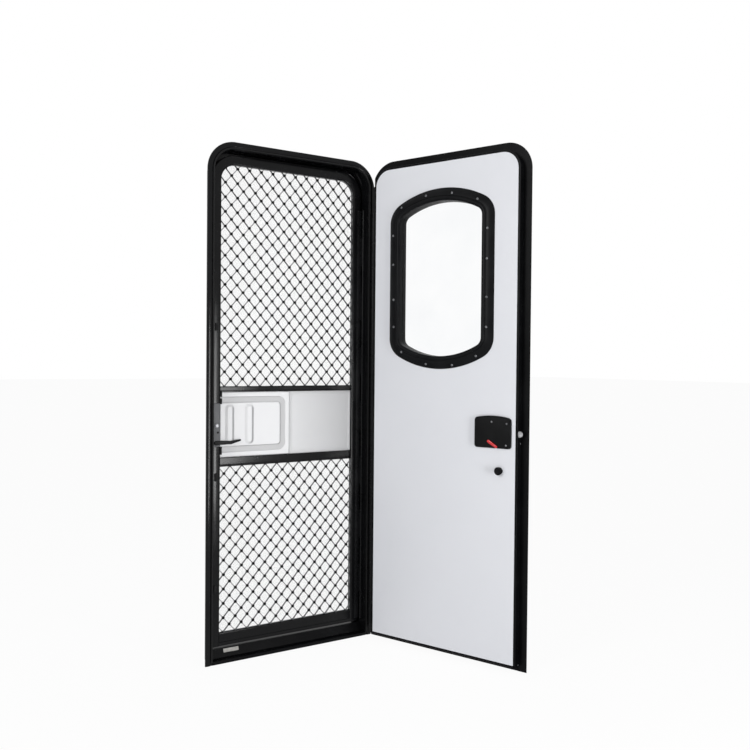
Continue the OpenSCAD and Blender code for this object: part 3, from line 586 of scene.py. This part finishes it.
def insect_mesh():
    """Woven wire 1.4 mm apart: half solid where a ridge of one of two sine waves is high, else straight
    through."""
    m, tree, shader, where = shade("insect_mesh")
    place = axes(tree, where)
    waves = [maths(tree, "SINE", maths(tree, "MULTIPLY", place[axis], 2 * math.pi / 0.0014))
             for axis in ("X", "Z")]
    wire = maths(tree, "MAXIMUM", *[spread(tree, wave, 0, 0.5, 0.93, 0.99) for wave in waves])
    fine = speckle(tree, where, 500, 2.0)
    feed(tree, shader.inputs["Base Color"], between(tree, fine, (0.56, 0.565, 0.57), (0.68, 0.685, 0.69)))
    feed(tree, shader.inputs["Roughness"], 0.5)
    blended(tree, wire, tree.nodes.new("ShaderNodeBsdfTransparent"), shader)
    return m


tray_white = hatch_plastic()

NODE_COATS = {
    powder_black: ["frame_sill", "strike_plate"],
    hinge_black: ["door_hinge_fixed_leaf", "door_hinge_leaf", "door_hinge_pin", "screen_hinge_fixed_leaf",
                  "screen_hinge_leaf", "screen_hinge_pin"],
    lattice_coat(): ["grille_upper", "grille_lower"],
    skin_white: ["door_inner_skin", "door_outer_skin"],
    foam_white: ["door_core"],
    insect_mesh(): ["flyscreen_upper", "flyscreen_lower"],
    clear_acrylic(): ["window_pane"],
}
for coat, names in NODE_COATS.items():
    for name in names:
        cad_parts[name].material_slots[0].material = coat


# Wall frame

FRAME_SECTION = filleted([
    (0, 0, 0), (0, -4.6, 2.3), (9, -5.0, 30), (18, -4.6, 2.0), (18, -2.4, 0), (18.4, -2.4, 0),
    (18.4, -4, 0.6), (19.5, -4, 0.5), (19.5, -2.4, 0), (24.7, -2.4, 0), (24.7, -4, 0.5), (26, -4, 0.6),
    (26, SLOT_Y[0], 0), (26, SLOT_Y[1], 0), (26, 65, 0.6), (46, 65, 0), (46, 67, 0.8), (24, 67, 0.8),
    (24, SLOT_Y[1], 0), (24, SLOT_Y[0], 0), (24, 0, 0)])


def slotted_frame():
    """The section carried round the head. Between two stations on the latch side its wall, from 24 to 26,
    is left open for the bolt, and the slot gets its four small sides."""
    places, inward = head_path(HALF_W, Z_LOW, Z_TOP, BEND_R)
    places = np.insert(places, 1, [[-HALF_W, z] for z in SLOT_Z], 0)
    inward = np.insert(inward, 1, [[1.0, 0.0], [1.0, 0.0]], 0)
    points, faces = carried((places, inward), FRAME_SECTION)
    m = len(FRAME_SECTION)
    corners = [(26, SLOT_Y[0]), (26, SLOT_Y[1]), (24, SLOT_Y[1]), (24, SLOT_Y[0])]
    a, b, c, d = [int(np.hypot(*(FRAME_SECTION - corner).T).argmin()) for corner in corners]
    faces = [f for k, f in enumerate(faces) if k not in (m + a, m + c)]
    lower, upper = [m + k for k in (a, b, c, d)], [2 * m + k for k in (a, b, c, d)]
    faces += [lower, upper, [lower[0], upper[0], upper[3], lower[3]],
              [lower[1], upper[1], upper[2], lower[2]]]
    return points, faces


piece("frame_surround", slotted_frame(), "frame", frame_black,
      ("frame_jamb_latch", "frame_jamb_hinge", "frame_head"))

SEAL_SECTION = arc((22.1, -6.75), 2.75, full_turn(20))
piece("frame_bulb_seal", carried(head_path(HALF_W, 7.5, Z_TOP, BEND_R), SEAL_SECTION), "frame", seal_black,
      ("frame_seal",))


# Security screen

SCREEN_PATH = head_path(SCREEN_HALF_W, SCREEN_LOW, SCREEN_TOP, SCREEN_BEND_R)
SCREEN_SECTION = filleted([
    (0, 58.3, 1.5), (0, 41.4, 1.6), (3, 40.6, 3), (16.5, 40.3, 60), (29, 40.8, 3), (31, 42.2, 1.2),
    (33, 42.4, 0.6), (33, 44.2, 0), (29.6, 44.2, 0), (29.6, 52.8, 0), (33, 52.8, 0), (33, 58.3, 1)])
piece("screen_surround", carried(SCREEN_PATH, SCREEN_SECTION), "screen_door", screen_black,
      ("screen_stile_latch", "screen_stile_hinge", "screen_head"))


def rail(name, node, low, high, step):
    """A cross rail: a flat box section whose front has soft edges and a shallow step along one edge."""
    section = filleted([(57.3, low, 0.8), (57.3, high, 0.8), (41.6, high, 2.0), (41.3, high - 3, 6),
                        (41.3, low + step, 3), (42.4, low + step - 1.6, 1.5), (42.6, low, 1.5)])
    piece(name, bar(section, -RAIL_REACH, RAIL_REACH), "screen_door", screen_black,
          (node,))


rail("rail_foot", "screen_bottom_rail", SCREEN_LOW, LOWER_FIELD[0], 14)
rail("rail_under_band", "screen_lower_rail", LOWER_FIELD[1], BAND[0] - 0.5, 8)
rail("rail_over_band", "screen_upper_rail", BAND[1] + 0.5, UPPER_FIELD[0], 6)


def hatch_front(x, z):
    """Depth of the sliding panel: border 46, groove 48.6, plateau 45 and two grips 41.4, eased into each
    other, and a soft edge that falls back by 1.2 exp(distance / 0.9)."""
    (x0, x1), (low, top) = HATCH_X, BAND
    border = 1 - ease(off_box(x, z, x0 - 40, x1 - 17, low + 17, top - 17, 26), 3.5)
    plateau = ease(off_box(x, z, x0 - 40, x1 - 37, low + 37, top - 37, 12), 4)
    y = 48.6 - 2.6 * border - 3.6 * plateau
    for left in (x0 + 24, x0 + 98):
        grip = off_box(x, z, left - 1, left + 24, 747, 880, 11)
        y = y - 3.6 * ease(grip, np.where(x < left + 12, 12.0, 11.0))
    return y + 1.2 * np.exp(off_box(x, z, x0, x1, low, top, 2.0) / 0.9)


def hatch_back(x, z):
    """Depth of the sliding panel's rear: 0.9 behind its front."""
    return hatch_front(x, z) + 0.9


piece("hatch_moulding", relief(HATCH_X, BAND, hatch_back, hatch_front), "hatch", tray_white,
      ("sliding_hatch",), crease=60)


def fixed_front(x, z):
    """Depth of the fixed panel: a bead 9 wide at 50.6 round a field at 51.6, sunk where the hatch passes."""
    field = ease(off_box(x, z, 13, 255, 709.5, 917.5, 5), 2.5)
    lap = ease(x - 5.5, 1.5)
    return 50.6 + np.maximum(field, lap)


def fixed_back(x, z):
    """Depth of the panel's rear: 54.4 at its border and 53.3 in its field."""
    return 54.4 - 1.1 * ease(off_box(x, z, -5, 253, 711, 916, 6), 3)


piece("panel_moulding", relief(PANEL_X, BAND, fixed_back, fixed_front, 1.6), "screen_door", field_white,
      ("fixed_panel",), crease=60)


# Main door

# The flange ends at the hinge's leaf
FLANGE_END = 317.0
FLANGE_SECTION = filleted([(4, -10, 0), (4, -12, 1.0), (38, -12, 0), (38, -10, 0)])
WALL_SECTION = filleted([(33, -10.2, 0), (35, -10.2, 0), (35, 16, 0), (41, 16, 0), (41, 18, 0.8),
                         (33, 18, 1.4)])
flange_points, flange_faces = carried(head_path(HALF_W, Z_LOW + 4, Z_TOP, BEND_R), FLANGE_SECTION)
flange_points[..., 0] = np.minimum(flange_points[..., 0], FLANGE_END)
walls = carried(head_path(HALF_W, 15.5, Z_TOP, BEND_R), WALL_SECTION)
piece("door_surround", joined([(flange_points, flange_faces), walls]), "main_door", powder_black,
      ("door_edge_latch", "door_edge_hinge", "door_edge_head"))

WINDOW_RIM = window_path()
SLOPE_START, SLOPE_END = 18, 45


def ring_face(s):
    """Depth of the inner ring's sloping face at a distance s from the opening:
    29.6 - 9.8 ((s - 18) / 27)^1.8."""
    run = SLOPE_END - SLOPE_START
    return 29.6 - 9.8 * (np.clip(s - SLOPE_START, 0, run) / run) ** 1.8


slope = np.linspace(SLOPE_START, SLOPE_END, 15)
INNER_RING = np.concatenate([
    [[7.6, 4.6], [0.4, 4.6], [0.2, 23.0]], arc((8, 23.6), (-7.6, 8.2), np.linspace(0.15, np.pi / 2, 9)),
    [[12.0, 31.7], [14.0, 31.0], [15.0, 29.4], [15.4, 28.2], [16.4, 28.1], [17.0, 29.2]],
    np.stack([slope, ring_face(slope)], 1), [[46, 19.4], [46, 18.05], [7.6, 18.05]]])
piece("window_surround", carried(WINDOW_RIM, INNER_RING, True), "main_door", moulded_black,
      ("window_inner_ring",), crease=40)
OUTER_RING = filleted([(7.6, 1.4, 0), (0.4, 1.4, 0), (0.4, -19.6, 2.4), (18, -20, 9), (30, -14.2, 1.2),
                       (30, -12.05, 0), (7.6, -12.05, 0)], 6)
piece("window_trim", carried(WINDOW_RIM, OUTER_RING, True), "main_door", moulded_black,
      ("window_outer_ring",), crease=40)

# Places (x, z) of the ring's screws, read from the photo; each sits on the slope at its distance
RING_SCREWS = np.array([
    (169.9, 1597.8), (65.2, 1629.6), (-41.7, 1628.2), (-142.5, 1596.4), (-182.1, 1494.2), (-181.8, 1391.1),
    (-181.2, 1260.8), (-181.3, 1159.1), (-141.4, 1060.5), (-46.9, 1028.7), (60.4, 1031.2), (164.1, 1074.0),
    (198.7, 1165.7), (199.8, 1264.6), (203.0, 1392.9), (204.2, 1499.0)])
away = np.linalg.norm(RING_SCREWS[:, None] - fine_outline(WINDOW_RIM[0])[None], axis=2).min(1)
ring_seats = np.column_stack([RING_SCREWS[:, 0], ring_face(away), RING_SCREWS[:, 1]])
piece("ring_screws", screw_heads(ring_seats, (0, 1, 0), 4.4, 2.0), "main_door", screw_grey)


def arched(outline):
    """Lowers the upper part of the latch box's outline by 8 (x / half width)^2 at x from its middle."""
    middle, half = sum(BOX_X) / 2, (BOX_X[1] - BOX_X[0]) / 2
    out = outline.copy()
    out[:, 1] -= 8 * ((out[:, 0] - middle) / half) ** 2 * np.clip((out[:, 1] - 800) / 40, 0, 1)
    return out


BOX = arched(fine_outline(rounded_box(BOX_X[0], BOX_Z[0], BOX_X[1], BOX_Z[1], 10, 8)))
BOX_RINGS = np.concatenate([soft_edge(18, 24.4, 2.0, 5), soft_edge(24.4, 26.9, 1.6, 4, 4.2)])
piece("latch_case", shell(BOX, BOX_RINGS), "main_door", box_black, ("latch_box",))
CASE_SEATS = [(-205, 26.6, 838), (-261, 26.6, 834), (-259, 26.6, 761)]
piece("case_screws", screw_heads(CASE_SEATS, (0, 1, 0), 3.4, 1.4), "main_door", screw_grey)


def finger(pivot, angle, length, r, tip_r, back, front):
    """A flat finger from a pivot, turned by an angle in degrees: the outline is an arc round the pivot and
    an arc round the tip with their two common tangents, and the front is rounded."""
    lean = math.asin((r - tip_r) / length)
    side = math.pi / 2
    out = np.concatenate([arc((0, 0), r, np.linspace(side - lean, 3 * side + lean, 15)),
                          arc((length, 0), tip_r, np.linspace(lean - side, side - lean, 15))])
    c, s = math.cos(math.radians(angle)), math.sin(math.radians(angle))
    out = np.array(pivot) + np.stack([c * out[:, 0] - s * out[:, 1], s * out[:, 0] + c * out[:, 1]], 1)
    return shell(out, soft_edge(back, front, 2.2))


piece("release_lever", finger((-194, 772), 211, 34, 5.0, 4.5, 27.35, 30.6), "latch_lever", release_red,
      ("latch_lever",))

KNOB = [(0, 0), (12.4, 0), (12.4, 1.8), (11, 2.6), (10.6, 6.5), (11.4, 8.4), (13.2, 9.4), (13.9, 10.4),
        (13.9, 12), (13.4, 13), (12.2, 13.7), (10.6, 13.9), (9.6, 13.5), (0, 13.2)]
piece("door_knob", turned((-232, 18.05, 673), (0, 1, 0), KNOB), "main_door", moulded_black,
      ("pull_knob",))


# Edge of the main door: bottom, seal lip, hinge folds, bolt and edge screws

BOTTOM_SECTION = filleted([
    (-12, -0.5, 0.8), (-12, 20.5, 0), (-10, 20.5, 0), (-10, 17.6, 0), (16, 17.6, 0), (16, 23.5, 0),
    (18, 23.5, 0), (18, 15.5, 1.4), (-10, 15.5, 0), (-10, -0.5, 0.6)])
piece("door_bottom_edge", bar(BOTTOM_SECTION, -297.5, 297.5), "main_door", powder_black,
      ("door_edge_bottom",))

LIP_SECTION = arc((298.9, 15.2), (2.6, 2.4), full_turn(14))
piece("door_seal_lip", upright_strip(LIP_SECTION, 16.0, 1690.0), "main_door", seal_black)

MOVING_FOLD = filleted([(316.5, -13.5, 0), (318.4, -13.5, 0.5), (319.3, -12.6, 0.3), (319.2, -12, 0),
                        (316.5, -12, 0)])
FIXED_FOLD = filleted([(319, -6.4, 0), (320.2, -7.1, 0.3), (325.8, -7.1, 0.3), (327, -6.4, 0)])
piece("hinge_fold_moving", upright_strip(MOVING_FOLD, *HINGE_SPAN), "main_door", hinge_black)
piece("hinge_fold_fixed", upright_strip(FIXED_FOLD, *HINGE_SPAN), "frame", hinge_black)


def bolt_tongue():
    """A rounded tongue 13 by 22 along x from -277 to -299, then shrinking by cos t while it runs on by
    13 sin t: an elliptic nose."""
    outline = rounded_box(-6.5, -11, 6.5, 11, 6.3)
    t = np.linspace(0, 1.45, 9)
    along = np.concatenate([[-277.0], -299 - 13 * np.sin(t)])
    scale = np.concatenate([[1.0], np.cos(t)])
    rings = [np.column_stack([np.full(len(outline), x), BOLT + k * outline]) for x, k in zip(along, scale)]
    return np.stack(rings), capped(len(rings), len(outline))


piece("bolt_nose", bolt_tongue(), "latch_bolt", bolt_grey, ("latch_bolt",))
EDGE_SEATS = [(-298, -4, 767.5), (-298, -5, 21.5)]
piece("edge_screws", screw_heads(EDGE_SEATS, (-1, 0, 0), 2.8, 1.2), "main_door", screw_grey)


# Lock, lever, stops and pads of the screen

LOCK_CASE = rounded_box(-293.5, 737.5, -264.5, 889.5, 6)
piece("screen_lock_case", shell(LOCK_CASE, soft_edge(40.6, 38.0, 1.6)), "screen_door", lock_grey,
      ("screen_lock_body",))
SNIB = [(0, -0.5), (8.4, -0.5), (8.2, 1.8), (7.2, 2.9), (5.6, 3.4), (0, 3.5)]
piece("screen_snib", turned((-277.5, 38.1, 812), (0, -1, 0), SNIB, 28), "screen_door", lock_alloy)
EYE = [(0, -0.5), (3.8, -0.5), (3.8, 0.4), (3.0, 0.8), (0, 0.5)]
piece("screen_lock_eye", turned((-274.0, 38.1, 788), (0, -1, 0), EYE, 20), "screen_door", rivet_black)

LEVER_HUB = arc((-280.5, 751.5), 8, np.linspace(math.pi / 2, 3 * math.pi / 2, 15))
LEVER_ARM = filleted([(-270, 759.5, 0), (-228, 757, 10), (-189, 762, 2.4), (-188, 756, 2.4), (-224, 746, 8),
                      (-270, 744.5, 0)], 5)
LEVER = np.concatenate([LEVER_HUB, LEVER_ARM[::-1]])
piece("screen_turn_lever", shell(LEVER, soft_edge(38.0, 35.4, 1.6)), "screen_lever", moulded_black,
      ("screen_lever",))

clips = [shell(rounded_box(-264.5, low, -257.5, top, 1.5, 3), soft_edge(44.6, 41.0, 1.0))
         for low, top in ((911, 934), (886, 906), (710, 737))]
piece("hatch_clips", joined(clips), "screen_door", rivet_black)
pads = [shell(rounded_box(-285.5, z - 18.5, -275.5, z + 9.5, 4, 4), soft_edge(40.6, 36.9, 1.8))
        for z in (248, 637, 1158)]
piece("screen_pads", joined(pads), "screen_door", seal_black, ("screen_buffers",))


# Outer handle

def handle_front(x, z):
    """Depth of the housing: the skin's level outside its rounded outline, -21 inside it and -14 in the
    finger recess, eased into each other."""
    body = ease(off_box(x, z, -270, -146, 747.5, 851.5, 14), 3.0)
    recess = ease(off_box(x, z, -260, -156, 759.5, 817.5, 8), 2.4)
    return -11.9 - 9.1 * body + 7.0 * recess


piece("handle_housing", relief((-271.5, -144.5), (746, 853), -11.4, handle_front, 1.1), "main_door",
      moulded_black, ("outer_handle_housing",), crease=60)
PADDLE = rounded_box(-256, 783.5, -160, 813.5, 5)
piece("handle_paddle", shell(PADDLE, soft_edge(-15, -20, 2.2)), "main_door", moulded_black,
      ("outer_handle_paddle",))


def barrel_front(x, z):
    """Depth of the lock barrel: a disc of radius 10 with a key slot 2 by 10."""
    disc = ease(np.hypot(x + 208, z - 833.5) - 10, 0.9)
    slot = ease(off_box(x, z, -209, -207, 828.5, 838.5, 0.6), 0.6)
    return -20.8 - 4.2 * disc + 2.0 * slot


piece("lock_barrel", relief((-219, -197), (822.5, 844.5), -20.2, barrel_front, 0.4), "main_door", zinc,
      ("lock_cylinder",), crease=60)


# Sill plate and rivets of the grille

def riser_plate():
    """A thin plate on the sill's riser, which climbs from (y 23, z 7.5) to (y 37.3, z 35.5): its outline
    (x, way up the riser) is stacked at three heights square to the riser."""
    foot, rise = np.array([23.0, 7.5]), np.array([14.3, 28.0]) / math.hypot(14.3, 28.0)
    out = np.array([-rise[1], rise[0]])
    outline = rounded_box(-252, 14.5, -196, 27.0, 1.2, 4)
    seat = foot + outline[:, 1, None] * rise
    rings = [np.column_stack([outline[:, 0], seat + height * out]) for height in (0.1, 0.9, 1.1)]
    return np.stack(rings), capped(len(rings), len(outline))


piece("sill_plate", riser_plate(), "frame", bare_silver)


def rivet_heads():
    """A small boss of three rings (radius, depth) at every crossing of the strips: row j of a field lies
    j ROW_PITCH over its foot, and every second row is moved on by half a STRIP_PITCH."""
    ring = at_depth(arc((0, 0), 1, full_turn(10))[None], 0.0)[0]
    boss = np.concatenate([r * ring + [0, y, 0] for r, y in ((5.2, 0.3), (5.2, -0.5), (3.6, -1.3))])
    faces = capped(3, len(ring))
    parts = []
    for low, top in (LOWER_FIELD, UPPER_FIELD):
        for j in range(1, int((top - low) / ROW_PITCH) + 1):
            across = (np.arange(-6, 7) + (j + 1) % 2 / 2) * STRIP_PITCH
            parts += [(boss + [x, 44.6, low + j * ROW_PITCH], faces) for x in across[np.abs(across) < 258]]
    return joined(parts)


piece("grille_rivets", rivet_heads(), "screen_door", rivet_black, crease=50)


# Stage, light and camera

def seen_rays(tree):
    """1 for camera, glossy and transmission rays, else 0."""
    path = tree.nodes.new("ShaderNodeLightPath").outputs
    mirrored = maths(tree, "MAXIMUM", path["Is Camera Ray"], path["Is Glossy Ray"])
    return maths(tree, "MAXIMUM", mirrored, path["Is Transmission Ray"])


def floor_paper():
    """Pale paper that the camera sees as plain white apart from the object's shadow."""
    m, tree, shader, where = shade("floor_paper")
    grain = speckle(tree, where, 2.0, 2.0)
    feed(tree, shader.inputs["Base Color"], between(tree, grain, (0.90, 0.90, 0.90), (0.92, 0.92, 0.92)))
    feed(tree, shader.inputs["Roughness"], 0.9)
    feed(tree, shader.inputs["Specular IOR Level"], 0.1)
    glow = tree.nodes.new("ShaderNodeEmission")
    glow.inputs["Color"].default_value = (1, 1, 1, 1)
    glow.inputs["Strength"].default_value = 1.0
    blended(tree, maths(tree, "MULTIPLY", seen_rays(tree), 0.94), shader, glow)
    return m


FLOOR_REACH = 40
floor_mesh = bpy.data.meshes.new("floor")
floor_mesh.from_pydata([(x * FLOOR_REACH, y * FLOOR_REACH, Z_LOW * MM)
                        for x, y in ((-1, -1), (1, -1), (1, 1), (-1, 1))], [], [(0, 1, 2, 3)])
floor_mesh.materials.append(floor_paper())
floor = bpy.data.objects.new("floor", floor_mesh)
bpy.context.scene.collection.objects.link(floor)

world = bpy.data.worlds.new("studio")
bpy.context.scene.world = world
world.use_nodes = True
sky = world.node_tree
background = sky.nodes["Background"]
background.inputs["Color"].default_value = (1, 1, 1, 1)
sky.links.new(spread(sky, seen_rays(sky), 0.46, 1.0, 0.0, 1.0), background.inputs["Strength"])


def lamp(name, place, aim, size, power):
    """A soft rectangular lamp at a place in metres, aimed at a point."""
    light = bpy.data.lights.new(name, "AREA")
    light.shape = "RECTANGLE"
    light.size, light.size_y = size
    light.energy = power
    obj = bpy.data.objects.new(name, light)
    obj.location = place
    obj.rotation_euler = (Vector(aim) - Vector(place)).to_track_quat("-Z", "Y").to_euler()
    bpy.context.scene.collection.objects.link(obj)


lamp("key_softbox", (-3.5, -1.4, 2.3), (0.2, -0.2, 0.9), (1.5, 1.8), 64)
lamp("front_softbox", (0.78, -2.8, 0.62), (-0.25, 0, 0.8), (0.38, 1.3), 34)

# The camera's place, lens and turn are those of the photo
EYE_PLACE = Vector((-1.314, -2.631, 1.041))
yaw, pitch, roll = math.radians(32.196), math.radians(-0.998), math.radians(0.498)
lens = bpy.data.cameras.new("photo_view")
lens.sensor_width = 36.0
lens.lens = 39.07
lens.clip_end = 100
camera = bpy.data.objects.new("photo_view", lens)
bpy.context.scene.collection.objects.link(camera)
ahead = Vector((math.sin(yaw) * math.cos(pitch), math.cos(yaw) * math.cos(pitch), math.sin(pitch)))
level_right = Vector((math.cos(yaw), -math.sin(yaw), 0))
level_up = level_right.cross(ahead)
right = level_right * math.cos(roll) + level_up * math.sin(roll)
up = level_up * math.cos(roll) - level_right * math.sin(roll)
camera.matrix_world = Matrix.Translation(EYE_PLACE) @ Matrix((right, up, -ahead)).transposed().to_4x4()
bpy.context.scene.camera = camera
bpy.context.scene.view_settings.view_transform = "Standard"
